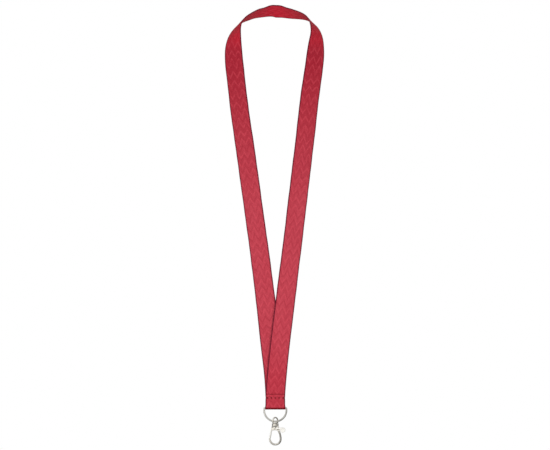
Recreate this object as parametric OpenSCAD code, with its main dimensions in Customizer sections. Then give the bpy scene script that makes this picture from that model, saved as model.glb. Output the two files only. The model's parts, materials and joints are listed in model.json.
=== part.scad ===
// Neck lanyard: one length of flat webbing stitched round a D-ring, with a
// swivelling trigger hook. Drawn hanging: X to the right, +Z up, front is -Y.
// The origin is the inner face of the strap at the middle of the neck loop.

/* [Strap] */
// Width of the webbing
webbing_w = 20; // [18:0.5:20]
// Thickness of the webbing
webbing_t = 0.9; // [0.7:0.05:0.95]
// Rings made for each span of the strap's route
strap_steps = 4; // [2:1:6]

/* [Stitched end] */
// Length of the turned-up flap above the middle of the D-ring's bar
flap_len = 13.8; // [12:0.2:15]
// Length of the cut end that is held between the flap and the back layer
tuck_len = 5; // [4:0.5:6]
// Height of the stitch row above the middle of the bar
stitch_h = 10; // [8:0.5:11]
// Length of one stitch
stitch_len = 4; // [2.5:0.5:4.5]
// Number of stitches in the row
stitches = 4; // [3:1:4]
// Diameter of the sewing thread
thread_d = 0.4; // [0.3:0.05:0.5]

/* [D-ring] */
// Diameter of the D-ring's wire
ring_wire_d = 1.8; // [1.6:0.1:1.8]
// Half width of the D-ring, to the middle of its wire
ring_half_w = 11.3; // [11.3:0.1:11.6]

/* [Swivel] */
// Diameter of the eye's wire
eye_wire_d = 1.4; // [1.2:0.1:1.5]
// Radius of the eye, to the middle of its wire
eye_r = 3.45; // [3.4:0.05:3.6]
// Turn of the eye about the vertical, from facing the front
eye_turn = 45; // [40:1:60]
// Radius of the eye's collar
collar_r = 3.35; // [3.2:0.05:3.5]
// Radius of the swivel's stem
stem_r = 1.2; // [1.0:0.05:1.2]

/* [Hook] */
// Radial thickness of the fixed arm and the bowl
arm_t = 1.9; // [1.7:0.1:1.9]
// Front-to-back depth of the fixed arm and the bowl
arm_d = 2.3; // [2.1:0.1:2.4]
// Radius of the bowl, to the middle of the arm
bowl_r = 5.45; // [5.4:0.05:5.5]
// Depth of the neck where its cheeks are flat
cheek_d = 4.2; // [4.0:0.1:4.4]

/* [Gate lever] */
// Thickness of the lever's plate
lever_t = 1.8; // [1.6:0.1:1.8]
// Radius of the pivot pin
pin_r = 0.6; // [0.5:0.05:0.6]
// Radius of the thumb tab's round end
tab_r = 2.6; // [2.2:0.1:2.7]
// Gap between the gate's tip and the nose when it is shut
nose_gap = 0.1; // [0.08:0.01:0.2]

/* [Hidden] */

crimson = [0.66, 0.16, 0.22];
crimson_thread = [0.60, 0.12, 0.19];
nickel = [0.80, 0.79, 0.77];
nickel_dark = [0.70, 0.69, 0.68];
steel = [0.62, 0.62, 0.64];

// middle of everything below the stitching, across the strap
cx = 0.5;
// middle of the D-ring's bar
bar_z = -402.4;
ring_r = ring_wire_d / 2;
corner_r = 1.3;
ring_c_z = bar_z - 2 * corner_r;            // centre of the D-ring's round part
ring_low_z = ring_c_z - ring_half_w;        // lowest point of its wire's middle
fold_r = ring_r + 0.1 + webbing_t / 2;      // middle of the webbing round the bar
layer = webbing_t + 0.1;                    // step from one layer to the next
collar_top = ring_low_z - 1.2;
collar_h = 0.75;
hook_z = -418.6;                            // top face of the hook's neck

// The strap's route: [x, y, z, lean]. Lean is the turn of the webbing about
// its own length: 0 faces the front, 90 stands edge on to it. The route goes
// up the left leg, over the neck, and down the right leg, which lies in front.
ROUTE = [
  [  0.5,   1.0, -399.5,   0],
  [  0.5,   1.0, -393.5,   0],
  [  0.5,   1.0, -387.5,   0],
  [ -1.0,   1.5, -364.5,   1],
  [ -4.5,   2.5, -339.5,   2],
  [ -8.5,   3.5, -299.5,   4],
  [-13.5,   4.0, -259.5,  14],
  [-19.0,   4.0, -219.5,  16],
  [-24.0,   4.0, -184.5,  17],
  [-28.5,   3.0, -149.5,  16],
  [-33.5,  -0.5, -117.5,  18],
  [-37.0,  -5.0,  -90.5,  23],
  [-39.5,  -8.0,  -68.5,  23],
  [-41.5, -12.0,  -49.5,  20],
  [-42.0, -13.0,  -33.5,  34],
  [-40.0, -10.5,  -19.5,  67],
  [-34.0,  -6.5,   -8.5,  97],
  [-19.0,  -2.5,   -3.0, 111],
  [  0.0,   1.5,    2.0, 133],
  [ 19.0,  -2.0,   -3.5, 116],
  [ 34.0,  -4.0,   -5.5, 100],
  [ 42.5,  -9.0,  -19.5,  63],
  [ 42.0,  -8.5,  -33.5,  36],
  [ 41.0,  -7.0,  -49.5,  22],
  [ 38.0,  -1.5,  -68.5,  20],
  [ 35.0,   1.5,  -90.5,  18],
  [ 32.0,   2.5, -117.5,  16],
  [ 28.5,   2.0, -149.5,  17],
  [ 24.0,   2.5, -184.5,  15],
  [ 20.0,   2.0, -219.5,  14],
  [ 15.0,   0.5, -259.5,  15],
  [ 10.0,   0.5, -299.5,   3],
  [  5.0,   0.0, -339.5,   3],
  [  2.5,   0.0, -364.5,   1],
  [  0.5,   0.0, -387.5,   0],
  [  0.5,   0.0, -393.5,   0],
  [  0.5,   0.0, -399.5,   0]];

function unit(v) = v / norm(v);
// smooth curve through the route: value and direction on one span
function spline(a, b, c, d, t) =
    (pow(1 - t, 3) * a + (3 * t * t * t - 6 * t * t + 4) * b
     + (-3 * t * t * t + 3 * t * t + 3 * t + 1) * c + t * t * t * d) / 6;
function slope(a, b, c, d, t) =
    (-pow(1 - t, 2) * a + (3 * t * t - 4 * t) * b
     + (-3 * t * t + 2 * t + 1) * c + t * t * d) / 2;
function xyz(p) = [p[0], p[1], p[2]];
// direction across the webbing, from its outer edge to its inner edge
function across(T, lean) =
    let (e = unit([T[2], 0, -T[0]]),
         w = cos(lean) * e + sin(lean) * [0, -1, 0])
    unit(w - (w * T) * T);
function station(k, t) =
    let (p = spline(ROUTE[k], ROUTE[k + 1], ROUTE[k + 2], ROUTE[k + 3], t),
         T = unit(xyz(slope(ROUTE[k], ROUTE[k + 1], ROUTE[k + 2], ROUTE[k + 3], t))))
    [xyz(p), T, across(T, p[3])];
function ease(t) = t * t * (3 - 2 * t);

spans = len(ROUTE) - 3;
// the flap, down the front and round the bar, up the back
z_ease = bar_z + 7.4;
FLAP = [
  [[cx, -layer, bar_z + flap_len], [0, 0, -1], [1, 0, 0]],
  [[cx, -layer, bar_z + 9], [0, 0, -1], [1, 0, 0]],
  for (i = [0:4]) let (t = i / 5)
    [[cx, -layer - (fold_r - layer) * ease(t), z_ease + (bar_z - z_ease) * t],
     [0, 0, -1], [1, 0, 0]],
  for (i = [0:12]) let (a = 180 + i * 15)
    [[cx, fold_r * cos(a), bar_z + fold_r * sin(a)],
     [0, -sin(a), cos(a)], [1, 0, 0]],
  for (i = [1:4]) let (t = 1 - i / 5)
    [[cx, layer + (fold_r - layer) * ease(t), z_ease + (bar_z - z_ease) * t],
     [0, 0, 1], [1, 0, 0]]];
LEGS = [for (k = [0:spans - 1]) for (j = [0:strap_steps - 1]) station(k, j / strap_steps),
        station(spans - 1, 1)];
TUCK = [[[cx, 0, bar_z + flap_len - 5 - tuck_len], [0, 0, -1], [-1, 0, 0]]];
STRAP = concat(FLAP, LEGS, TUCK);

function corners(s) =
    let (C = s[0], T = s[1], w = s[2], n = cross(T, w),
         a = webbing_w / 2 * w, b = webbing_t / 2 * n)
    [C - a - b, C + a - b, C + a + b, C - a + b];

module strap_webbing() {
  rings = len(STRAP);
  pts = [for (s = STRAP) each corners(s)];
  sides = [for (i = [0:rings - 2]) for (j = [0:3])
      let (a = 4 * i + j, b = 4 * i + (j + 1) % 4)
      each [[a, a + 4, b + 4], [a, b + 4, b]]];
  e = 4 * (rings - 1);
  color(crimson)
    polyhedron(points = pts,
               faces = concat([[0, 1, 2], [0, 2, 3]], sides,
                              [[e + 3, e + 2, e + 1], [e + 3, e + 1, e]]),
               convexity = 10);
}

// one side of the lock-stitch row; side is -1 for the front, 1 for the back
module stitch_row(side) {
  face = layer + webbing_t / 2;
  x0 = cx - stitches * stitch_len / 2;
  for (i = [0:stitches - 1])
    translate([x0 + i * stitch_len, side * face, bar_z + stitch_h])
      rotate([0, 90, 0]) cylinder(d = thread_d, h = stitch_len, $fn = 10);
  for (i = [0:stitches])
    translate([x0 + i * stitch_len, side * face, bar_z + stitch_h])
      rotate([side * 90, 0, 0]) cylinder(d = thread_d, h = face, $fn = 10);
}
module needle_thread() { color(crimson_thread) stitch_row(-1); }
module bobbin_thread() { color(crimson_thread) stitch_row(1); }

// draws XY shapes upright in the XZ plane, about a point
module upright(x, z) { translate([x, 0, z]) rotate([90, 0, 0]) children(); }
// part of a round ring, from angle a0 to a1
module bend(R, r, a0, a1) {
  rotate([0, 0, a0]) rotate_extrude(angle = a1 - a0, $fn = 96)
    translate([R, 0]) circle(r = r, $fn = 48);
}

module d_ring() {
  half_bar = ring_half_w - corner_r;
  color(nickel) upright(cx, ring_c_z) {
    bend(ring_half_w, ring_r, 180, 360);
    for (s = [-1, 1]) translate([s * ring_half_w, 0, 0]) rotate([-90, 0, 0])
      cylinder(r = ring_r, h = corner_r, $fn = 48);
    translate([half_bar, corner_r, 0]) bend(corner_r, ring_r, 0, 90);
    translate([-half_bar, corner_r, 0]) bend(corner_r, ring_r, 90, 180);
    translate([-half_bar, 2 * corner_r, 0]) rotate([0, 90, 0])
      cylinder(r = ring_r, h = 2 * half_bar, $fn = 48);
  }
}

module swivel_eye() {
  eye_c = collar_top + eye_r * sin(33) - 0.15;
  color(nickel) {
    translate([cx, 0, eye_c]) rotate([0, 0, eye_turn]) rotate([90, 0, 0])
      bend(eye_r, eye_wire_d / 2, -33, 213);
    translate([cx, 0, collar_top - collar_h]) cylinder(r = collar_r, h = collar_h, $fn = 64);
    translate([cx, 0, hook_z - 2]) cylinder(r = stem_r, h = collar_top - 0.2 - hook_z + 2, $fn = 48);
    translate([cx, 0, hook_z - 2]) cylinder(r = 1.9, h = 0.8, $fn = 48);
  }
}

// The hook is drawn about the swivel's axis, with v = 0 at the neck's top.
pivot = [-1.3, -4.0];
tab_c = [7.6, -6.4];
bowl_v = -15.7;
arm_R = 18;
nose_n = [0.6, 0.8];
nose_p = [-5.45, -15.5];

module plate(t) { linear_extrude(height = t, center = true) children(); }
// half plane beyond the joint between gate and nose: s = 1 gate, s = -1 nose
module nose_side(s) {
  rotate_a = atan2(nose_n[1], nose_n[0]);
  translate([nose_p[0], nose_p[1], 0]) rotate([0, 0, rotate_a])
    translate([s > 0 ? nose_gap / 2 : -6 - nose_gap / 2, -6, -3]) cube([6, 12, 6]);
}
module arm_section(R) {
  translate([R, 0]) intersection() {
    circle(d = arm_d, $fn = 48);
    square([arm_t, 2 * arm_d], center = true);
  }
}
module arm_bend(R, a0, a1) {
  rotate([0, 0, a0]) rotate_extrude(angle = a1 - a0, $fn = 96) arm_section(R);
}

module neck_outline() {
  polygon([[-3.35, 0], [3.35, 0], [3.35, -2], [4.0, -4.4], [4.35, -6.2], [4.2, -7.0],
           [3.4, -7.5], [2.0, -7.1], [1.2, -6.8], [-3.9, -6.8], [-4.35, -6.3], [-4.0, -4.4],
           [-3.35, -2]]);
}
module neck_side() {
  h = cheek_d / 2;
  polygon([[-3.4, 0], [3.4, 0], [3.4, -1.9], [h, -3.9], [h, -8], [-h, -8], [-h, -3.9],
           [-3.4, -1.9]]);
}
// round blank that the neck is cut from
module neck_blank() {
  rotate([90, 0, 0]) rotate_extrude($fn = 96)
    polygon([[0, 0], [3.1, 0], [3.35, 0.25], [3.35, 1.7], [4.7, 5.2], [4.7, 8.5], [0, 8.5]]);
}

module hook_body() {
  color(nickel) upright(cx, hook_z) difference() {
    union() {
      intersection() {
        plate(8) neck_outline();
        rotate([0, 90, 0]) linear_extrude(height = 12, center = true) neck_side();
        neck_blank();
      }
      translate([bowl_r - arm_R, bowl_v, 0]) arm_bend(arm_R, 0, 30);
      intersection() {
        translate([0, bowl_v, 0]) arm_bend(bowl_r, 167, 360);
        union() {
          nose_side(-1);
          translate([-4.0, -24, -3]) cube([12, 10, 6]);
        }
      }
    }
    // bore for the swivel's stem, and the room for its head
    translate([0, 0.1, 0]) rotate([90, 0, 0]) cylinder(r = stem_r + 0.1, h = 1.4, $fn = 48);
    translate([0, -1.1, 0]) rotate([90, 0, 0]) cylinder(r = 2.1, h = 1.2, $fn = 48);
    // slot between the cheeks
    plate(lever_t + 0.2)
      polygon([[-3.1, -2.2], [1.0, -2.2], [1.0, -1.7], [6, -1.7], [6, -5.95], [2.0, -5.95],
               [2.0, -9], [-6, -9], [-6, -6.3], [-3.1, -4.3]]);
    // front cheek cut away, so that the lever's root shows
    translate([0, 0, (lever_t + 0.2) / 2]) linear_extrude(height = 4)
      polygon([[6, -2.5], [1.5, -2.5], [1.15, -3.2], [0.7, -3.9], [0.1, -4.6], [-0.5, -5.1],
               [-1.0, -5.6], [-1.3, -6.2], [-1.4, -9], [2.0, -9], [2.0, -5.95], [6, -5.95]]);
    // holes for the pin and the spring's fixed leg
    translate([pivot[0], pivot[1], 0]) cylinder(r = pin_r, h = 8, center = true, $fn = 48);
    translate([pivot[0] + 0.95, pivot[1], -2]) cylinder(r = 0.17, h = 1.5, $fn = 24);
  }
}
module gate_lever() {
  color(nickel_dark) upright(cx, hook_z) difference() {
    union() {
      intersection() {
        plate(lever_t) union() {
          polygon([[-2.75, -4.7], [-4.75, -6.6], [-6.25, -13.9], [-5.55, -15.9], [-4.65, -15.0],
                   [-3.3, -7.2], [-0.9, -5.55], [-1.3, -4.0]]);
          translate([-5.55, -14.6]) circle(r = 0.95, $fn = 48);
          translate([pivot[0], pivot[1]]) circle(r = 1.6, $fn = 64);
        }
        nose_cut();
      }
      plate(lever_t) polygon([[-1.3, -4.0], [-0.71, -2.51], [3.0, -4.0], [5.6, -4.0],
               [5.6, -8.4], [5.25, -7.8], [4.9, -6.4], [4.6, -5.7], [2.6, -5.6], [-0.75, -5.5]]);
      translate([tab_c[0], tab_c[1], 0]) cylinder(r = tab_r, h = lever_t + 0.8, center = true, $fn = 64);
      plate(lever_t + 0.8) polygon([[5.4, tab_c[1] + tab_r - 0.2], [tab_c[0], tab_c[1] + tab_r],
               [tab_c[0], tab_c[1] - tab_r], [5.8, tab_c[1] - tab_r + 0.2], [5.4, tab_c[1] - tab_r + 0.7]]);
    }
    // bore for the pin, pocket for the spring's coil and room for its leg
    translate([pivot[0], pivot[1], 0]) {
      cylinder(r = pin_r + 0.05, h = 4, center = true, $fn = 48);
      translate([0, 0, -2]) cylinder(r = 1.25, h = 1.9, $fn = 48);
      translate([0, 0, -0.5]) linear_extrude(height = 0.4)
        polygon([[0, 0], for (a = [-34:6:32]) 1.52 * [cos(a - 90), sin(a - 90)]]);
    }
  }
}
// everything on the gate's side of the joint
module nose_cut() { union() { nose_side(1); translate([-8, -13, -3]) cube([16, 14, 6]); } }

module gate_pin() {
  h = cheek_d / 2;
  color(steel) upright(cx + pivot[0], hook_z + pivot[1]) {
    cylinder(r = pin_r, h = cheek_d, center = true, $fn = 48);
    for (s = [-1, 1]) translate([0, 0, s * (h + 0.125)]) cylinder(r = 1.0, h = 0.25, center = true, $fn = 48);
  }
}

// torsion spring: a coil about the pin, one leg into the back cheek, one leg
// out into the lever's pocket
coil_r = 0.95;
coil_w = 0.12;
COIL = [
  [coil_r, 0, -1.5], [coil_r, 0, -0.95],
  for (i = [0:26]) let (a = -i * 30) [coil_r * cos(a), coil_r * sin(a), -0.78 + 0.52 * i / 26],
  [0, -1.42, -0.26]];
module gate_spring() {
  n = len(COIL);
  sides = 8;
  function dir(i) = unit(COIL[min(i + 1, n - 1)] - COIL[max(i - 1, 0)]);
  function ring(i) =
      let (T = dir(i), p = COIL[i],
           r0 = i < 2 ? [1, 0, 0] : unit([p[0], p[1], 0]),
           r1 = i == n - 1 ? [1, 0, 0] : r0,
           e = unit(r1 - (r1 * T) * T), f = cross(T, e))
      [for (j = [0:sides - 1]) p + coil_w * (cos(360 * j / sides) * e + sin(360 * j / sides) * f)];
  pts = [for (i = [0:n - 1]) each ring(i)];
  tube = [for (i = [0:n - 2]) for (j = [0:sides - 1])
      let (a = sides * i + j, b = sides * i + (j + 1) % sides)
      each [[a, a + sides, b + sides], [a, b + sides, b]]];
  e = sides * (n - 1);
  color(steel) upright(cx + pivot[0], hook_z + pivot[1])
    polyhedron(points = pts,
               faces = concat([[for (j = [0:sides - 1]) j]], tube,
                              [[for (j = [0:sides - 1]) e + sides - 1 - j]]),
               convexity = 6);
}

strap_webbing();
needle_thread();
bobbin_thread();
d_ring();
swivel_eye();
hook_body();
gate_lever();
gate_pin();
gate_spring();
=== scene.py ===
import json
import math
import bpy
import bmesh
import numpy as np
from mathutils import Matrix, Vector


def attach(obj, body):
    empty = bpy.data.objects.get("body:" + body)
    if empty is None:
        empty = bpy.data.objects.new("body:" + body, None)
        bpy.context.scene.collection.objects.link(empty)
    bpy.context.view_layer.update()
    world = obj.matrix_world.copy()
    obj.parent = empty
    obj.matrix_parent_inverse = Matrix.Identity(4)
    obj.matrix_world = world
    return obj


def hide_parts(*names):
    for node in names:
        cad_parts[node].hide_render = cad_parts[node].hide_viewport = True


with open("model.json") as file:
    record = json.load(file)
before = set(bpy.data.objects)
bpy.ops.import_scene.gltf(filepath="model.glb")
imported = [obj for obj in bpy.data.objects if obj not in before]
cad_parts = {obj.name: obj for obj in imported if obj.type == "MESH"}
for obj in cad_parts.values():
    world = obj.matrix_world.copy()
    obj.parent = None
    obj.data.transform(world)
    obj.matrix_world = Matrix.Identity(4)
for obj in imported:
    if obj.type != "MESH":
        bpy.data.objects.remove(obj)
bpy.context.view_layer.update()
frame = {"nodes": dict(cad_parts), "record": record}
nodes = frame["nodes"]
scene = bpy.context.scene
MM = 0.001

# ---------------------------------------------------------------- the camera
cam_data = bpy.data.cameras.new("camera")
cam_data.sensor_width = 36.0
cam_data.lens = 300.0
camera = bpy.data.objects.new("camera", cam_data)
camera.location = (0.0002, -4.652, -0.21696)
camera.rotation_euler = (math.pi / 2, 0.0, 0.0)
scene.collection.objects.link(camera)
scene.camera = camera

# ------------------------------------------------------- the strap's own line
# the same numbers as in the CAD source, in millimetres
CX, BAR_Z, RING_R = 0.5, -402.4, 0.9
HOOK_Z, UNDER_Z, STEP = -418.6, -418.25, 0.28    # hook's top, collar's underside, its step down
PIVOT = (-1.3, -4.0)    # the gate's pin, from the hook's own centre
WIDE, THICK = 20.0, 0.9
FLAP_LEN, TUCK_LEN = 13.8, 5.0
LAYER = THICK + 0.1
FOLD_R = RING_R + 0.1 + THICK / 2
STITCH_Z = BAR_Z + 10.0
STITCH_X = [CX - 8.0 + 4.0 * i for i in range(5)]
ROUTE = np.array([
    [0.5, 1.0, -399.5, 0], [0.5, 1.0, -393.5, 0], [0.5, 1.0, -387.5, 0],
    [-1.0, 1.5, -364.5, 1], [-4.5, 2.5, -339.5, 2], [-8.5, 3.5, -299.5, 4],
    [-13.5, 4.0, -259.5, 14], [-19.0, 4.0, -219.5, 16], [-24.0, 4.0, -184.5, 17],
    [-28.5, 3.0, -149.5, 16], [-33.5, -0.5, -117.5, 18], [-37.0, -5.0, -90.5, 23],
    [-39.5, -8.0, -68.5, 23], [-41.5, -12.0, -49.5, 20], [-42.0, -13.0, -33.5, 34],
    [-40.0, -10.5, -19.5, 67], [-34.0, -6.5, -8.5, 97], [-19.0, -2.5, -3.0, 111],
    [0.0, 1.5, 2.0, 133], [19.0, -2.0, -3.5, 116], [34.0, -4.0, -5.5, 100],
    [42.5, -9.0, -19.5, 63], [42.0, -8.5, -33.5, 36], [41.0, -7.0, -49.5, 22],
    [38.0, -1.5, -68.5, 20], [35.0, 1.5, -90.5, 18], [32.0, 2.5, -117.5, 16],
    [28.5, 2.0, -149.5, 17], [24.0, 2.5, -184.5, 15], [20.0, 2.0, -219.5, 14],
    [15.0, 0.5, -259.5, 15], [10.0, 0.5, -299.5, 3], [5.0, 0.0, -339.5, 3],
    [2.5, 0.0, -364.5, 1], [0.5, 0.0, -387.5, 0], [0.5, 0.0, -393.5, 0],
    [0.5, 0.0, -399.5, 0]], float)


def unit(v):
    return v / np.linalg.norm(v)


def ease(t):
    return t * t * (3 - 2 * t)


def across(T, lean):
    e = unit(np.array([T[2], 0.0, -T[0]]))
    w = math.cos(math.radians(lean)) * e + math.sin(math.radians(lean)) * np.array([0, -1.0, 0])
    return unit(w - w.dot(T) * T)


def spline(k, t):
    a, b, c, d = ROUTE[k:k + 4]
    p = ((1 - t) ** 3 * a + (3 * t ** 3 - 6 * t ** 2 + 4) * b
         + (-3 * t ** 3 + 3 * t ** 2 + 3 * t + 1) * c + t ** 3 * d) / 6
    s = (-(1 - t) ** 2 * a + (3 * t * t - 4 * t) * b
         + (-3 * t * t + 2 * t + 1) * c + t * t * d) / 2
    T = unit(s[:3])
    return p[:3], T, across(T, p[3])


def strap_line():
    """Close stations along the webbing: its middle, its direction, the way across it."""
    out = []
    X = np.array([1.0, 0, 0])
    z_ease = BAR_Z + 7.4
    for z in np.linspace(BAR_Z + FLAP_LEN, z_ease, 20)[:-1]:
        out.append((np.array([CX, -LAYER, z]), np.array([0, 0, -1.0]), X))
    slope = lambda t: 6 * t * (1 - t) * (FOLD_R - LAYER) / (z_ease - BAR_Z)
    for t in np.linspace(0, 1, 18)[:-1]:
        out.append((np.array([CX, -LAYER - (FOLD_R - LAYER) * ease(t), z_ease + (BAR_Z - z_ease) * t]),
                    unit(np.array([0, -slope(t), -1.0])), X))
    for a in np.radians(np.linspace(180, 360, 25)):
        out.append((np.array([CX, FOLD_R * math.cos(a), BAR_Z + FOLD_R * math.sin(a)]),
                    np.array([0, -math.sin(a), math.cos(a)]), X))
    for t in np.linspace(1, 0, 18)[1:]:
        out.append((np.array([CX, LAYER + (FOLD_R - LAYER) * ease(t), z_ease + (BAR_Z - z_ease) * t]),
                    unit(np.array([0, -slope(t), 1.0])), X))
    for z in np.linspace(z_ease, -393.5, 5)[1:-1]:
        out.append((np.array([CX, LAYER, z]), np.array([0, 0, 1.0]), X))
    last = len(ROUTE) - 4
    for k in range(last + 1):
        span = np.linalg.norm(ROUTE[k + 2][:3] - ROUTE[k + 1][:3])
        low = max(ROUTE[k + 1][2], ROUTE[k + 2][2]) < -380
        n = int(math.ceil(span / (0.42 if low else 1.35 if ROUTE[k + 1][2] > -95 else 2.0)))
        for j in range(n):
            out.append(spline(k, j / n))
    out.append(spline(last, 1.0))
    for z in np.linspace(-393.5, BAR_Z + FLAP_LEN - 5 - TUCK_LEN, 11)[1:]:
        out.append((np.array([CX, 0.0, z]), np.array([0, 0, -1.0]), -X))
    return out


LINE = strap_line()
MID = np.array([s[0] for s in LINE])
DIR = np.array([s[1] for s in LINE])
WAY = np.array([s[2] for s in LINE])
NRM = np.cross(DIR, WAY)
LONG = np.concatenate([[0], np.cumsum(np.linalg.norm(np.diff(MID, axis=0), axis=1))])
STRAP_LENGTH = float(LONG[-1])


# --------------------------------------------------------------- small helpers
def new_object(name, verts, faces, smooth=True):
    mesh = bpy.data.meshes.new(name)
    mesh.from_pydata([tuple(map(float, v)) for v in verts], [], [tuple(f) for f in faces])
    mesh.validate()
    if smooth:
        mesh.shade_smooth()
    ob = bpy.data.objects.new(name, mesh)
    scene.collection.objects.link(ob)
    return ob


def sweep(path, radius, sides=24, closed=False, up=(0, 1, 0)):
    """Vertices and quads of a round wire along a path; radius may vary along it."""
    P = np.array(path, float)
    n = len(P)
    R = np.full(n, radius, float) if np.isscalar(radius) else np.array(radius, float)
    if closed:
        T = np.roll(P, -1, 0) - np.roll(P, 1, 0)
    else:
        T = np.gradient(P, axis=0)
    T /= np.linalg.norm(T, axis=1)[:, None]
    u = np.array(up, float)
    u = unit(u - u.dot(T[0]) * T[0])
    verts, faces = [], []
    ang = np.linspace(0, 2 * math.pi, sides, endpoint=False)
    for i in range(n):
        u = unit(u - u.dot(T[i]) * T[i])
        v = np.cross(T[i], u)
        verts.extend(P[i] + R[i] * (np.cos(ang)[:, None] * u + np.sin(ang)[:, None] * v))
    rings = n if closed else n - 1
    for i in range(rings):
        a, b = i * sides, ((i + 1) % n) * sides
        for j in range(sides):
            k = (j + 1) % sides
            faces.append((a + j, a + k, b + k, b + j))
    if not closed:
        verts.append(P[0] - T[0] * R[0] * 0.6)
        verts.append(P[-1] + T[-1] * R[-1] * 0.6)
        c0, c1, e = len(verts) - 2, len(verts) - 1, (n - 1) * sides
        for j in range(sides):
            k = (j + 1) % sides
            faces.append((c0, k, j))
            faces.append((c1, e + j, e + k))
    return verts, faces


def join(parts):
    verts, faces = [], []
    for v, f in parts:
        base = len(verts)
        verts.extend(v)
        faces.extend([tuple(i + base for i in q) for q in f])
    return verts, faces


# ------------------------------------------------------------ material helpers
class Nodes:
    def __init__(self, name):
        self.mat = bpy.data.materials.new(name)
        self.mat.use_nodes = True
        self.tree = self.mat.node_tree
        self.tree.nodes.clear()
        self.out = self.tree.nodes.new("ShaderNodeOutputMaterial")
        self.bsdf = self.tree.nodes.new("ShaderNodeBsdfPrincipled")
        self.tree.links.new(self.bsdf.outputs[0], self.out.inputs["Surface"])

    def put(self, socket, value):
        if isinstance(value, bpy.types.NodeSocket):
            self.tree.links.new(value, socket)
        elif value is not None:
            socket.default_value = value

    def math(self, op, a, b=None, c=None, clamp=False):
        n = self.tree.nodes.new("ShaderNodeMath")
        n.operation = op
        n.use_clamp = clamp
        for s, v in zip(n.inputs, (a, b, c)):
            self.put(s, v)
        return n.outputs[0]

    def span(self, value, a, b, c, d, smooth=True):
        n = self.tree.nodes.new("ShaderNodeMapRange")
        n.interpolation_type = "SMOOTHSTEP" if smooth else "LINEAR"
        self.put(n.inputs[0], value)
        for i, v in enumerate((a, b, c, d)):
            n.inputs[i + 1].default_value = v
        return n.outputs[0]

    def mix(self, fac, a, b, how="MIX"):
        n = self.tree.nodes.new("ShaderNodeMix")
        n.data_type = "RGBA"
        n.blend_type = how
        self.put(n.inputs[0], fac)
        self.put(n.inputs[6], a)
        self.put(n.inputs[7], b)
        return n.outputs[2]

    def noise(self, vector, scale, detail=3.0, rough=0.5, seed=0.0):
        n = self.tree.nodes.new("ShaderNodeTexNoise")
        n.noise_dimensions = "4D"
        self.put(n.inputs["Vector"], vector)
        n.inputs["W"].default_value = seed
        n.inputs["Scale"].default_value = scale
        n.inputs["Detail"].default_value = detail
        n.inputs["Roughness"].default_value = rough
        return n.outputs[0]

    def stretch(self, vector, x, y, z):
        n = self.tree.nodes.new("ShaderNodeMapping")
        self.put(n.inputs[0], vector)
        n.inputs["Scale"].default_value = (x, y, z)
        return n.outputs[0]

    def combine(self, x, y, z):
        n = self.tree.nodes.new("ShaderNodeCombineXYZ")
        for socket, v in zip(n.inputs, (x, y, z)):
            self.put(socket, v)
        return n.outputs[0]

    def value(self, name):
        n = self.tree.nodes.new("ShaderNodeAttribute")
        n.attribute_name = name
        return n.outputs["Fac"]

    def place(self):
        n = self.tree.nodes.new("ShaderNodeTexCoord")
        return n.outputs["Object"]

    def lay(self):
        n = self.tree.nodes.new("ShaderNodeAttribute")
        n.attribute_name = "lay"
        s = self.tree.nodes.new("ShaderNodeSeparateXYZ")
        self.tree.links.new(n.outputs["Vector"], s.inputs[0])
        return n.outputs["Vector"], s.outputs[0], s.outputs[1], s.outputs[2]

    def bump(self, height, distance, strength=1.0, normal=None):
        n = self.tree.nodes.new("ShaderNodeBump")
        n.inputs["Strength"].default_value = strength
        n.inputs["Distance"].default_value = distance
        self.put(n.inputs["Height"], height)
        self.put(n.inputs["Normal"], normal)
        return n.outputs[0]

    def crevice(self, distance):
        n = self.tree.nodes.new("ShaderNodeAmbientOcclusion")
        n.samples = 8
        n.inputs["Distance"].default_value = distance
        return n.outputs["AO"]


def linear(r, g, b):
    f = lambda c: c / 12.92 if c <= 0.04045 else ((c + 0.055) / 1.055) ** 2.4
    return (f(r / 255), f(g / 255), f(b / 255), 1.0)


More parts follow.
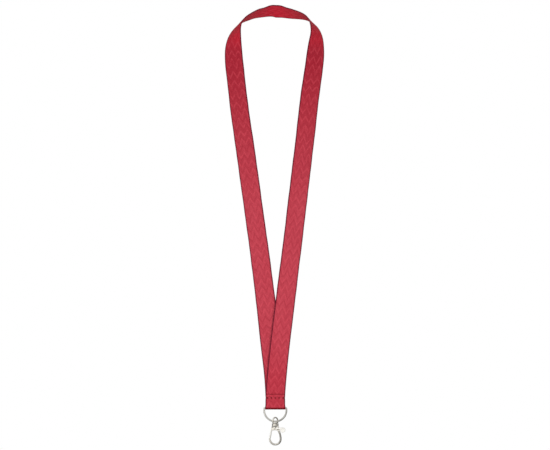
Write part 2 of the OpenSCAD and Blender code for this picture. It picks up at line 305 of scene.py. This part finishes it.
def webbing_material():
    """Warp-faced twill tape: long floats of yarn stepping sideways, painted shade in the
    gaps, selvedges darker from a denser weave and painted edge shade, streaks of dye
    along the length, painted light and shade along its length, sealed ends, painted
    shade in the stitch holes and on the fold."""
    m = Nodes("webbing_weave")
    vec, w, s, end = m.lay()
    # the twill turns back on itself every eight yarns, as a herringbone does
    zig = m.math("PINGPONG", m.math("ADD", w, 40.0), 3.8)
    col = m.math("DIVIDE", zig, 0.475)
    cell = m.math("FLOOR", col)
    across_yarn = m.math("ABSOLUTE", m.math("SINE", m.math("MULTIPLY", col, math.pi)))
    step = m.math("ADD", m.math("DIVIDE", s, 1.15), m.math("MULTIPLY", cell, 0.25))
    float_ = m.math("ABSOLUTE", m.math("SINE", m.math("MULTIPLY", step, math.pi)))
    crown = m.math("MULTIPLY", m.math("POWER", across_yarn, 0.55), m.math("POWER", float_, 0.4))
    fuzz = m.noise(m.stretch(vec, 5.0, 1.2, 5.0), 1.6, 4.0, 0.6, 1.0)
    height = m.math("ADD", crown, m.math("MULTIPLY", fuzz, 0.35))
    # light and dark bands where the twill lines run, broken up by uneven dye
    drift = m.noise(m.stretch(vec, 0.16, 0.05, 0.5), 1.0, 2.0, 0.5, 4.0)
    run = m.math("ADD", m.math("ADD", m.math("MULTIPLY", s, 0.098), m.math("MULTIPLY", zig, 0.21)),
                 m.math("MULTIPLY", drift, 1.1))
    band = m.math("SINE", m.math("MULTIPLY", run, 2 * math.pi))
    fine = m.math("SINE", m.math("MULTIPLY", m.math("ADD", m.math("MULTIPLY", s, 0.23),
                  m.math("ADD", m.math("MULTIPLY", zig, 0.36), m.math("MULTIPLY", drift, 1.7))), 2 * math.pi))
    uneven = m.noise(m.stretch(vec, 0.55, 0.16, 0.5), 1.0, 2.0, 0.5, 7.0)
    hatch = m.math("ADD", m.math("ADD", m.math("MULTIPLY", band, 0.30), m.math("MULTIPLY", fine, 0.16)), uneven)
    patch = m.noise(m.stretch(vec, 0.10, 0.022, 0.5), 1.0, 2.0, 0.5, 9.0)
    # painted light and shade along the strap: darker upper legs below the neck, lighter lower legs, a brighter neck
    # arc, a darker red low by the flap
    painted_light_tone = m.value("painted_light_tone")
    base = m.mix(m.span(painted_light_tone, 0.0, 1.0, 0.0, 1.0, False), linear(149, 25, 41), linear(176, 60, 73))
    base = m.mix(m.span(painted_light_tone, -1.0, 0.0, 1.0, 0.0, False), base, linear(190, 22, 43))
    base = m.mix(m.span(painted_light_tone, 1.0, 2.0, 0.0, 1.0, False), base, linear(170, 47, 61))
    base = m.mix(m.span(hatch, 0.0, 0.5, 0.30, 0.0), base, linear(136, 20, 36))
    base = m.mix(m.span(hatch, 0.5, 1.0, 0.0, 0.26), base, linear(220, 84, 98))
    base = m.mix(m.span(patch, 0.35, 0.65, 0.16, 0.0), base, linear(150, 26, 44))
    # painted shade in the gaps between the yarn floats
    base = m.mix(m.span(crown, 0.1, 0.75, 0.50, 0.0), base, linear(96, 10, 26))
    base = m.mix(m.span(fuzz, 0.45, 0.75, 0.0, 0.20), base, linear(216, 92, 106))
    # darker selvedges: a denser weave, with painted shade where the edges round off
    edge = m.span(m.math("ABSOLUTE", w), 8.5, 9.4, 0.0, 0.90)
    base = m.mix(edge, base, linear(80, 6, 28))
    # the lay's third channel darkens the sealed ends, dark from the melt and partly painted shade, and adds painted
    # shade in the stitch dimples and on the fold's underside
    base = m.mix(m.span(end, 0.0, 1.0, 0.0, 0.94), base, linear(96, 1, 12))
    m.put(m.bsdf.inputs["Base Color"], base)
    m.put(m.bsdf.inputs["Roughness"], m.span(crown, 0.0, 1.0, 0.9, 0.66))
    m.bsdf.inputs["Specular IOR Level"].default_value = 0.24
    m.bsdf.inputs["Sheen Weight"].default_value = 0.03
    m.bsdf.inputs["Sheen Roughness"].default_value = 0.45
    m.bsdf.inputs["Sheen Tint"].default_value = (1.0, 0.80, 0.82, 1.0)
    m.put(m.bsdf.inputs["Normal"], m.bump(height, 0.00012, 0.85))
    return m.mat


def thread_material(name, seed):
    m = Nodes(name)
    at = m.place()
    fibre = m.noise(m.stretch(at, 1.0, 2.4, 2.4), 5200.0, 4.0, 0.6, seed)
    patch = m.noise(at, 420.0, 2.0, 0.5, seed + 3)
    base = m.mix(m.span(fibre, 0.3, 0.7, 0, 1), linear(150, 24, 44), linear(206, 72, 88))
    base = m.mix(m.span(patch, 0.35, 0.7, 0, 0.35), base, linear(176, 40, 58))
    # painted shade in the thread's crevices, where the occlusion is high
    base = m.mix(m.span(m.crevice(0.0004), 0.2, 0.9, 0.75, 0.0), base, linear(74, 4, 16))
    m.put(m.bsdf.inputs["Base Color"], base)
    m.put(m.bsdf.inputs["Roughness"], m.span(fibre, 0.2, 0.8, 0.45, 0.7))
    m.bsdf.inputs["Sheen Weight"].default_value = 0.15
    m.bsdf.inputs["Specular IOR Level"].default_value = 0.45
    m.put(m.bsdf.inputs["Normal"], m.bump(fibre, 0.00003, 0.7))
    return m.mat


def metal_material(name, tint, dark, rough, seed, brushed=None, cast=0.00002, painted_shade_side=None):
    """Plated metal: tint and gloss that vary, fine scratches, a grainy cast or drawn
    skin, painted shade in the corners and, where given, on one side."""
    m = Nodes(name)
    at = m.place()
    cloud = m.noise(at, 260.0, 3.0, 0.55, seed)
    grain = m.noise(at, 3800.0, 4.0, 0.6, seed + 1)
    pits = m.noise(at, 1500.0, 2.0, 0.4, seed + 2)
    lines = m.noise(m.stretch(at, *(brushed or (1.0, 1.0, 9.0))), 1100.0, 3.0, 0.65, seed + 5)
    base = m.mix(m.span(cloud, 0.3, 0.7, 0.0, 1.0), tint, tuple(c * 0.90 for c in tint[:3]) + (1,))
    base = m.mix(m.span(pits, 0.62, 0.78, 0.0, 0.35), base, dark)
    # painted shade in the corners, where the occlusion is high
    base = m.mix(m.span(m.crevice(0.0012), 0.25, 0.85, 0.70, 0.0), base, dark)
    if painted_shade_side:
        # painted shade: the metal made greyer to the right of x0..x1 and below z1..z0
        x0, x1, z0, z1, most = painted_shade_side
        part = m.tree.nodes.new("ShaderNodeSeparateXYZ")
        m.tree.links.new(at, part.inputs[0])
        k = m.math("MULTIPLY", m.span(part.outputs[0], x0, x1, 0.0, most), m.span(part.outputs[2], z0, z1, 1.0, 0.0))
        base = m.mix(k, base, (0.14, 0.137, 0.13, 1.0))
    m.put(m.bsdf.inputs["Base Color"], base)
    m.bsdf.inputs["Metallic"].default_value = 1.0
    gloss = m.math("ADD", m.span(lines, 0.3, 0.75, rough - 0.05, rough + 0.10),
                   m.span(cloud, 0.35, 0.7, 0.0, 0.07))
    m.put(m.bsdf.inputs["Roughness"], gloss)
    b = m.bump(grain, cast, 0.5)
    b = m.bump(lines, 0.000012, 0.4, b)
    m.put(m.bsdf.inputs["Normal"], m.bump(pits, cast * 1.5, 0.35, b))
    return m.mat


# ------------------------------------------------------------- the strap's mesh
def strap_mesh():
    rib_n, per = 16, 4
    face_n = rib_n * per
    half = WIDE / 2
    pitch = WIDE / rib_n
    w_face = np.linspace(-half + 0.30, half - 0.30, face_n + 1)
    a = np.radians(np.linspace(72, -72, 7))
    ring_w = np.concatenate([w_face, half - 0.42 + 0.42 * np.cos(a),
                             w_face[::-1], -(half - 0.42 + 0.42 * np.cos(a))])
    side = np.concatenate([np.ones(face_n + 1), np.zeros(7), -np.ones(face_n + 1), np.zeros(7)])
    edge_n = np.concatenate([np.zeros(face_n + 1), 0.43 * np.sin(a), np.zeros(face_n + 1), -0.43 * np.sin(a)])
    N = len(ring_w)
    verts, lay, painted_light_tone = [], [], []
    total = len(MID)
    for i in range(total):
        C, T, W, Nn, s = MID[i], DIR[i], WAY[i], NRM[i], LONG[i]
        z, x = C[2], C[0]
        free = min(1.0, max(0.0, (z + 345.0) / 60.0))
        legs = i > 85 and i < total - 12
        # the tape wanders a little and curls across its width where it hangs free
        wave = free * (0.16 * math.sin(s / 9.1 + 0.7) + 0.12 * math.sin(s / 17.3 + 2.1) + 0.05 * math.sin(s / 4.7))
        curl = free * (0.22 + 0.10 * math.sin(s / 31.0))
        skew = free * 0.10 * math.sin(s / 13.0 + 1.0)
        narrow = free * (0.05 * math.sin(s / 6.3) + 0.04 * math.sin(s / 2.9 + 1.0))
        if not legs or z < -385:
            narrow += 0.30 * math.exp(-((z - BAR_Z) / 2.0) ** 2)
            narrow -= 0.16 * math.exp(-((z - STITCH_Z) / 1.6) ** 2)
        # a soft packing crease over the neck
        crease = 0.0
        if z > -20 and abs(x) < 14:
            crease = 0.42 * math.exp(-abs(x - 1.2) / 2.0) - 0.16 * math.exp(-((x - 6.5) / 3.0) ** 2)
        scale = (half + narrow) / half
        for j in range(N):
            w = ring_w[j] * scale
            rib = math.cos(2 * math.pi * ring_w[j] / pitch + math.pi)
            inner = max(0.0, 1 - (abs(ring_w[j]) / (half - 0.3)) ** 14)
            n = side[j] * (THICK / 2 - 0.035 + 0.035 * rib * inner
                           + 0.012 * inner * math.sin(s * 2.2 + ring_w[j] * 3.1)) + edge_n[j]
            n += wave + curl * ((w / half) ** 2 - 0.33) + skew * w / half + crease
            hole = 0.0
            if side[j] > 0 and abs(z - STITCH_Z) < 5 and i < 110:
                # the lock stitches pull the face in at each hole, and along the row
                px = C[0] + W[0] * w
                row = math.exp(-((z - STITCH_Z) / 0.75) ** 2)
                n -= 0.07 * row * (1 if abs(w) < 8.6 else 0)
                for hx in STITCH_X:
                    r2 = ((px - hx) / 0.70) ** 2 + ((z - STITCH_Z) / 0.72) ** 2
                    if r2 < 9:
                        n -= 0.46 * math.exp(-r2)
                        # painted shade in each stitch dimple, carried in the lay's third channel
                        hole = max(hole, min(1.0, 1.35 * math.exp(-0.62 * r2)))
                n += 0.06 * math.exp(-((z - STITCH_Z - 2.2) / 1.1) ** 2)
                n += 0.09 * math.exp(-((z - STITCH_Z + 2.6) / 1.5) ** 2)
            at = C + W * w + Nn * n
            if z > -24 and abs(x) < 33 and w < 0:
                # the lower selvedge rides up a little, most where the crease is
                rise = (0.95 * math.exp(-((x + 14.0) / 9.5) ** 4) + 0.85 * math.exp(-((x + 2.8) / 4.6) ** 2)
                        + 0.42 * math.exp(-((x - 16.0) / 11.0) ** 4))
                at = at + np.array([0, 0, (-w / half) ** 1.5 * rise])
            elif z > -24 and abs(x) < 33:
                # and the upper one sags beside it
                sag = 0.95 * math.exp(-((x + 11.0) / 4.5) ** 2) + 0.58 * math.exp(-((x - 11.5) / 5.5) ** 2)
                at = at - np.array([0, 0, (w / half) ** 1.5 * sag])
            verts.append(at)
            end = max(0.0, 1 - s / 0.7, 1 - (STRAP_LENGTH - s) / 0.7)
            if i < 110 and z < -401.0:
                # the fold is pressed where it turns under the bar; painted shade darkens it there, where it faces
                # down
                hole = max(hole, 0.97 * ease(min(1.0, (-401.8 - z) / 0.9)) if z < -401.8 else 0.0)
            lay.append((ring_w[j], s, max(end, hole)))
            # painted light and shade by height: 0 just below the neck, 1 some 150 mm lower, 2 by the flap, -1 over
            # the neck arc
            painted_light_tone.append(min(1.0, (-52.0 - z) / 150.0) + ease(min(1.0, max(0.0, (-330.0 - z) / 50.0))) if z < -52
                        else -ease(min(1.0, max(0.0, (z + 44.0) / 22.0))))
    # sealed, slightly rounded ends, cut a little unevenly
    V = np.array(verts).reshape(total, N, 3)
    L = np.array(lay).reshape(total, N, 3)
    first, last = [], []
    for which, i, sign in (("a", 0, -1), ("b", total - 1, 1)):
        ragged = 0.10 * np.sin(ring_w * 1.7 + i) + 0.05 * np.sin(ring_w * 4.3 + 2)
        ring0 = V[i] + sign * DIR[i] * ragged[:, None]
        V[i] = ring0
        shrunk = MID[i] + (ring0 - MID[i]) * np.array([0.992, 0.992, 0.992])
        off = (shrunk - MID[i]) @ NRM[i]
        shrunk = shrunk - np.outer(off * 0.45, NRM[i]) + sign * DIR[i] * 0.13
        (first if sign < 0 else last).append(shrunk)
    V = np.concatenate([np.array(first), V, np.array(last)])
    L = np.concatenate([L[:1], L, L[-1:]])
    L[0, :, 2] = L[-1, :, 2] = 1.0
    shade = np.array(painted_light_tone).reshape(-1, N)
    shade = np.concatenate([shade[:1], shade, shade[-1:]])
    total += 2
    faces = []
    for i in range(total - 1):
        for j in range(N):
            k = (j + 1) % N
            faces.append((i * N + j, (i + 1) * N + j, (i + 1) * N + k, i * N + k))
    # close each end with a strip from face to face
    top = list(range(0, face_n + 1))
    bot = list(range(face_n + 1 + 7, 2 * face_n + 2 + 7))[::-1]
    for base, flip in ((0, False), ((total - 1) * N, True)):
        strip = [(base + top[q], base + bot[q], base + bot[q + 1], base + top[q + 1]) for q in range(face_n)]
        right = [base + top[-1]] + [base + face_n + 1 + q for q in range(7)] + [base + bot[-1]]
        left = [base + bot[0]] + [base + 2 * face_n + 9 + q for q in range(7)] + [base + top[0]]
        # strip winding follows the ring's own
        polys = [tuple(q[::-1]) for q in strip] + [tuple(right), tuple(left)]
        faces += polys if not flip else [tuple(p[::-1]) for p in polys]
    ob = new_object("webbing_strap", V.reshape(-1, 3) * MM, faces)
    bm = bmesh.new()
    bm.from_mesh(ob.data)
    bmesh.ops.recalc_face_normals(bm, faces=bm.faces)
    bm.to_mesh(ob.data)
    bm.free()
    at = ob.data.attributes.new("lay", "FLOAT_VECTOR", "POINT")
    at.data.foreach_set("vector", L.reshape(-1).astype(np.float32))
    at = ob.data.attributes.new("painted_light_tone", "FLOAT", "POINT")
    at.data.foreach_set("value", shade.reshape(-1).astype(np.float32))
    ob.data.shade_smooth()
    return ob


strap = strap_mesh()
strap.data.materials.append(webbing_material())
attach(strap, "strap")
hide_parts("strap_webbing")


# ------------------------------------------------------------------ the stitches
def stitch_thread(name, side, seed):
    """One side of the row of lock stitches: two-ply thread from hole to hole."""
    face = LAYER + THICK / 2
    parts = []
    lift = [0.02, -0.02, 0.03, 0.0]
    for i in range(4):
        x0, x1 = STITCH_X[i], STITCH_X[i + 1]
        t = np.linspace(0, 1, 90)
        x = x0 + 0.10 + (x1 - x0 - 0.20) * t
        over = np.clip(np.minimum(t, 1 - t) / 0.16, 0, 1)
        over = over * over * (3 - 2 * over)
        y = side * (face - 0.62 + (0.58 + 0.05 * np.sin(math.pi * t) + lift[i]) * over)
        z = STITCH_Z + 0.06 * np.sin(math.pi * t + i) + 0.03 * (i % 2)
        core = np.c_[x, y, z]
        s = np.concatenate([[0], np.cumsum(np.linalg.norm(np.diff(core, axis=0), axis=1))])
        T = np.gradient(core, axis=0)
        T /= np.linalg.norm(T, axis=1)[:, None]
        u = np.cross(T, np.array([0, 0, 1.0]))
        u /= np.linalg.norm(u, axis=1)[:, None]
        v = np.cross(T, u)
        for ply in (0, math.pi):
            ph = ply + s * 2 * math.pi / 0.95 + i
            line = core + 0.088 * (np.cos(ph)[:, None] * u + np.sin(ph)[:, None] * v)
            parts.append(sweep(line, 0.118, 12, up=(0, 0, 1)))
    v, f = join(parts)
    ob = new_object(name, np.array(v) * MM, f)
    ob.data.materials.append(thread_material(name + "_fibre", seed))
    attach(ob, "strap")
    return ob


needle = stitch_thread("needle_stitches", -1, 2.0)
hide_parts("needle_thread")
bobbin = stitch_thread("bobbin_stitches", 1, 11.0)
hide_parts("bobbin_thread")


# ---------------------------------------------------------------- the hardware
RING_HALF, CORNER = 11.3, 1.3
RING_CZ = BAR_Z - 2 * CORNER


def d_ring_mesh():
    """Drawn wire bent to a D, its butt joint at the middle of the bar."""
    hb = RING_HALF - CORNER
    pts = []
    for x in np.linspace(0, hb, 24)[:-1]:
        pts.append((CX + x, 0, BAR_Z))
    for a in np.radians(np.linspace(90, 0, 12))[:-1]:
        pts.append((CX + hb + CORNER * math.cos(a), 0, BAR_Z - CORNER + CORNER * math.sin(a)))
    for z in np.linspace(BAR_Z - CORNER, RING_CZ, 5)[:-1]:
        pts.append((CX + RING_HALF, 0, z))
    for a in np.radians(np.linspace(0, -180, 130)):
        pts.append((CX + RING_HALF * math.cos(a), 0, RING_CZ + RING_HALF * math.sin(a)))
    for z in np.linspace(RING_CZ, BAR_Z - CORNER, 5)[1:]:
        pts.append((CX - RING_HALF, 0, z))
    for a in np.radians(np.linspace(180, 90, 12))[1:]:
        pts.append((CX - hb + CORNER * math.cos(a), 0, BAR_Z - CORNER + CORNER * math.sin(a)))
    for x in np.linspace(-hb, 0, 24)[1:-1]:
        pts.append((CX + x, 0, BAR_Z))
    P = np.array(pts)
    joint = np.abs(P[:, 0] - CX) + 50 * (P[:, 2] < BAR_Z - 0.5)
    radius = RING_R - 0.16 * np.exp(-(joint / 0.16) ** 2)
    radius = radius - 0.012 * (0.5 + 0.5 * np.sin(np.arange(len(P)) * 0.9))
    v, f = sweep(P, radius, 36, closed=True)
    return new_object("d_ring_wire", np.array(v) * MM, f)


def recast(node, name, voxel, smooth, seam=None, shape=None, crisp=None):
    """A node's own solid again with its edges softened as a casting's are."""
    mesh = nodes[node].data.copy()
    mesh.materials.clear()
    ob = bpy.data.objects.new(name, mesh)
    scene.collection.objects.link(ob)
    bm = bmesh.new()
    bm.from_mesh(mesh)
    bmesh.ops.remove_doubles(bm, verts=bm.verts, dist=2e-6)
    bm.to_mesh(mesh)
    bm.free()
    re = ob.modifiers.new("voxels", "REMESH")
    re.mode = "VOXEL"
    re.voxel_size = voxel
    re.adaptivity = 0.0
    sm = ob.modifiers.new("soften", "SMOOTH")
    sm.factor = 0.5
    sm.iterations = smooth
    dg = bpy.context.evaluated_depsgraph_get()
    made = bpy.data.meshes.new_from_object(ob.evaluated_get(dg))
    hard = None
    if crisp:
        # the same skin with hardly any softening, for where a pocket must keep its size
        sm.iterations = 1
        dg.update()
        sharp = bpy.data.meshes.new_from_object(ob.evaluated_get(dg))
        hard = np.zeros(len(sharp.vertices) * 3, np.float32)
        sharp.vertices.foreach_get("co", hard)
        hard = hard.reshape(-1, 3)
    ob.modifiers.clear()
    ob.data = made
    made.name = name
    n = len(made.vertices)
    co = np.zeros(n * 3, np.float32)
    made.vertices.foreach_get("co", co)
    co = co.reshape(-1, 3)
    no = np.zeros(n * 3, np.float32)
    made.vertices.foreach_get("normal", no)
    no = no.reshape(-1, 3)
    if seam:
        # the mould's parting line, a faint ridge round the middle plane
        y = co[:, 1]
        ridge = np.exp(-(y / 0.00011) ** 2) * (np.abs(no[:, 1]) < 0.75)
        keep = np.ones(n)
        for (x, z, r) in seam:
            keep *= 1 - np.exp(-(((co[:, 0] - x) ** 2 + (co[:, 2] - z) ** 2) / r ** 2))
        co = co + no * (ridge * keep * 0.000035)[:, None]
    if hard is not None and len(hard) == len(co):
        k = crisp(hard)[:, None]
        co = co * (1 - k) + hard * k
    if shape:
        co = shape(co)
    # uneven polish
    soft = (np.sin(co[:, 0] * 2900 + 1.3) * np.sin(co[:, 2] * 2300 + 0.4)
            * np.sin(co[:, 1] * 2600 + 0.9))
    co = co + no * (soft * 0.000012)[:, None]
    made.vertices.foreach_set("co", co.reshape(-1).astype(np.float32))
    made.update()
    made.shade_smooth()
    ob.data.materials.clear()
    return ob


def rounded_bar(co):
    """The gate's bar is rounded across, front and back."""
    a = np.array([CX - 4.03, HOOK_Z - 6.9]) * MM
    b = np.array([CX - 5.45, HOOK_Z - 14.45]) * MM
    d = (b - a) / np.linalg.norm(b - a)
    rel = co[:, [0, 2]] - a
    along = rel @ d
    off = np.abs(rel @ np.array([-d[1], d[0]])) / (0.86 * MM)
    on = np.clip((along + 0.0003) / 0.0012, 0, 1) * np.clip((0.0092 - along) / 0.0008, 0, 1)
    on = on * (off < 1.6)
    round_ = 0.42 + 0.58 * np.sqrt(np.clip(1 - off ** 2, 0, 1))
    out = co.copy()
    out[:, 1] *= 1 - on * (1 - round_)
    return out


def near_pivot(co):
    r = np.hypot(co[:, 0] - (CX + PIVOT[0]) * MM, co[:, 2] - (HOOK_Z + PIVOT[1]) * MM)
    return np.clip((0.0021 - r) / 0.0003, 0, 1)


def shoulder(co):
    """The collar's underside steps down round the stem."""
    r = np.hypot(co[:, 0] - CX * MM, co[:, 1])
    under = np.exp(-((co[:, 2] - UNDER_Z * MM) / 0.00009) ** 2) > 0.25
    out = co.copy()
    out[:, 2] -= under * (r > 0.00125) * np.clip((0.00225 - r) / 0.00012, 0, 1) * STEP * MM
    return out


NICKEL = (0.80, 0.77, 0.71, 1.0)
NICKEL_LIGHT = (0.85, 0.84, 0.82, 1.0)
NICKEL_HOOK = (0.68, 0.655, 0.61, 1.0)
NICKEL_WIRE = (0.74, 0.73, 0.70, 1.0)
PITS_AND_SHADE = (0.20, 0.18, 0.12, 1.0)

ring = d_ring_mesh()
# painted shade on the ring's right half below the bar
ring.data.materials.append(metal_material("ring_nickel", NICKEL_WIRE, PITS_AND_SHADE, 0.24, 3.0, (6.0, 1.0, 1.0), 0.000012,
                                         painted_shade_side=(-0.002, 0.006, -0.4035, -0.4015, 0.36)))
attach(ring, "ring")
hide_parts("d_ring")

eye = recast("swivel_eye", "swivel_eye_cast", 0.00006, 12, shape=shoulder)
eye.data.materials.append(metal_material("eye_nickel", NICKEL, PITS_AND_SHADE, 0.20, 8.0, (1.0, 1.0, 7.0)))
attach(eye, "eye")
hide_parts("swivel_eye")

hook = recast("hook_body", "hook_cast", 0.00008, 12, seam=[(0.0005, -0.423, 0.005)])
# painted shade on the hook's lower right arm
hook.data.materials.append(metal_material("hook_nickel", NICKEL_HOOK, PITS_AND_SHADE, 0.20, 14.0, (1.0, 1.0, 7.0),
                                         painted_shade_side=(0.0028, 0.0048, -0.4285, -0.4262, 0.62)))
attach(hook, "hook")
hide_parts("hook_body")

lever = recast("gate_lever", "thumb_lever", 0.00006, 13, shape=rounded_bar, crisp=near_pivot)
lever.data.materials.append(metal_material("lever_nickel", NICKEL_LIGHT, PITS_AND_SHADE, 0.24, 21.0, (7.0, 1.0, 1.0)))
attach(lever, "lever")
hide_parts("gate_lever")

pin = recast("gate_pin", "rivet_pin", 0.00005, 6)
pin.data.materials.append(metal_material("pin_nickel", NICKEL, PITS_AND_SHADE, 0.22, 27.0, (1.0, 6.0, 1.0)))
pin_body = frame["record"]["behaviour"]["bodies"]
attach(pin, next(b for b, ns in pin_body.items() if "gate_pin" in ns))
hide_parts("gate_pin")

spring_steel = metal_material("spring_wire", (0.62, 0.61, 0.60, 1.0), PITS_AND_SHADE, 0.28, 33.0, (5.0, 1.0, 1.0), 0.000008)
for k in range(max(1, len(nodes["gate_spring"].material_slots))):
    if len(nodes["gate_spring"].material_slots) == 0:
        nodes["gate_spring"].data.materials.append(spring_steel)
    nodes["gate_spring"].material_slots[k].material = spring_steel

# --------------------------------------------------------------- floor and light
bm = bmesh.new()
bmesh.ops.create_circle(bm, cap_ends=True, radius=0.42, segments=128)
floor_mesh = bpy.data.meshes.new("floor")
bm.to_mesh(floor_mesh)
bm.free()
floor = bpy.data.objects.new("floor", floor_mesh)
floor.location = (0, 0, -0.56)
scene.collection.objects.link(floor)
pale = Nodes("pale_floor")
mottle = pale.noise(pale.place(), 30.0, 3.0, 0.5, 0.0)
pale.put(pale.bsdf.inputs["Base Color"], pale.mix(mottle, (0.90, 0.90, 0.89, 1), (0.94, 0.94, 0.93, 1)))
pale.bsdf.inputs["Roughness"].default_value = 0.9
floor_mesh.materials.append(pale.mat)
floor.visible_diffuse = False
floor.visible_glossy = False


def lamp(name, place, target, size, watts, colour=(1, 1, 1), size_y=None):
    data = bpy.data.lights.new(name, "AREA")
    data.shape = "RECTANGLE"
    data.size = size
    data.size_y = size_y or size
    data.energy = watts
    data.color = colour
    ob = bpy.data.objects.new(name, data)
    ob.location = place
    ob.rotation_mode = "QUATERNION"
    ob.rotation_quaternion = (Vector(target) - Vector(place)).to_track_quat("-Z", "Y")
    ob.visible_camera = False
    ob.visible_glossy = False
    scene.collection.objects.link(ob)
    return ob


lamp("key", (-0.30, -1.30, -0.18), (0, 0, -0.25), 0.9, 14.6, (1.0, 0.99, 0.975))
lamp("fill", (0.55, -1.30, -0.30), (0, 0, -0.26), 0.7, 8.2)
lamp("back", (0.3, 1.3, 0.5), (0, 0, -0.2), 0.9, 12.0)

world = bpy.data.worlds.new("studio")
scene.world = world
world.use_nodes = True
wt = world.node_tree
wt.nodes.clear()
w_out = wt.nodes.new("ShaderNodeOutputWorld")
w_path = wt.nodes.new("ShaderNodeLightPath")
w_co = wt.nodes.new("ShaderNodeTexCoord")


def w_node(kind, **props):
    n = wt.nodes.new(kind)
    for k, v in props.items():
        setattr(n, k, v)
    return n


def lobe(direction, power, strength, colour):
    """A soft panel of light in one direction, as the metal sees it."""
    d = Vector(direction).normalized()
    dot = w_node("ShaderNodeVectorMath", operation="DOT_PRODUCT")
    wt.links.new(w_co.outputs["Generated"], dot.inputs[0])
    dot.inputs[1].default_value = d
    top = w_node("ShaderNodeMath", operation="MAXIMUM")
    wt.links.new(dot.outputs["Value"], top.inputs[0])
    top.inputs[1].default_value = 0.0
    pw = w_node("ShaderNodeMath", operation="POWER")
    wt.links.new(top.outputs[0], pw.inputs[0])
    pw.inputs[1].default_value = power
    bg = w_node("ShaderNodeVectorMath", operation="SCALE")
    bg.inputs[0].default_value = [c * strength for c in colour]
    wt.links.new(pw.outputs[0], bg.inputs["Scale"])
    return bg.outputs[0]


total_light = None
for part in (lobe((-0.80, -0.62, 0.22), 3.5, 1.35, (1.0, 0.98, 0.93)),
             lobe((0.50, -0.80, 0.35), 10.0, 0.26, (1.0, 0.99, 0.96)),
             lobe((0.92, -0.38, 0.10), 5.0, 0.62, (1.0, 0.99, 0.96)),
             lobe((0.0, -0.25, 0.97), 3.0, 0.80, (1.0, 1.0, 1.0)),
             lobe((-0.08, -1.0, 0.03), 34.0, 1.36, (1.0, 0.985, 0.95)),
             lobe((-0.35, -0.55, -0.80), 3.0, 0.42, (0.97, 0.99, 1.0)),
             lobe((0.1, 0.95, 0.30), 4.0, 0.70, (1.0, 1.0, 1.0))):
    if total_light is None:
        total_light = part
    else:
        add = w_node("ShaderNodeVectorMath", operation="ADD")
        wt.links.new(total_light, add.inputs[0])
        wt.links.new(part, add.inputs[1])
        total_light = add.outputs[0]
add = w_node("ShaderNodeVectorMath", operation="ADD")
wt.links.new(total_light, add.inputs[0])
add.inputs[1].default_value = (0.085, 0.083, 0.075)
w_gloss = w_node("ShaderNodeBackground")
wt.links.new(add.outputs[0], w_gloss.inputs[0])

w_sep = w_node("ShaderNodeSeparateXYZ")
wt.links.new(w_co.outputs["Generated"], w_sep.inputs[0])
w_map = w_node("ShaderNodeMapRange")
wt.links.new(w_sep.outputs[2], w_map.inputs[0])
w_map.inputs[1].default_value = -0.35
w_map.inputs[2].default_value = 0.9
w_map.inputs[3].default_value = 0.34
w_map.inputs[4].default_value = 0.42
w_soft = w_node("ShaderNodeBackground")
wt.links.new(w_map.outputs[0], w_soft.inputs[1])
w_soft.inputs[0].default_value = (1, 1, 1, 1)

w_white = w_node("ShaderNodeBackground")
w_white.inputs[0].default_value = (1, 1, 1, 1)
w_white.inputs[1].default_value = 1.0
mix_a = w_node("ShaderNodeMixShader")
wt.links.new(w_path.outputs["Is Glossy Ray"], mix_a.inputs[0])
wt.links.new(w_soft.outputs[0], mix_a.inputs[1])
wt.links.new(w_gloss.outputs[0], mix_a.inputs[2])
mix_b = w_node("ShaderNodeMixShader")
wt.links.new(w_path.outputs["Is Camera Ray"], mix_b.inputs[0])
wt.links.new(mix_a.outputs[0], mix_b.inputs[1])
wt.links.new(w_white.outputs[0], mix_b.inputs[2])
wt.links.new(mix_b.outputs[0], w_out.inputs[0])

scene.view_settings.view_transform = "Standard"
scene.view_settings.look = "None"
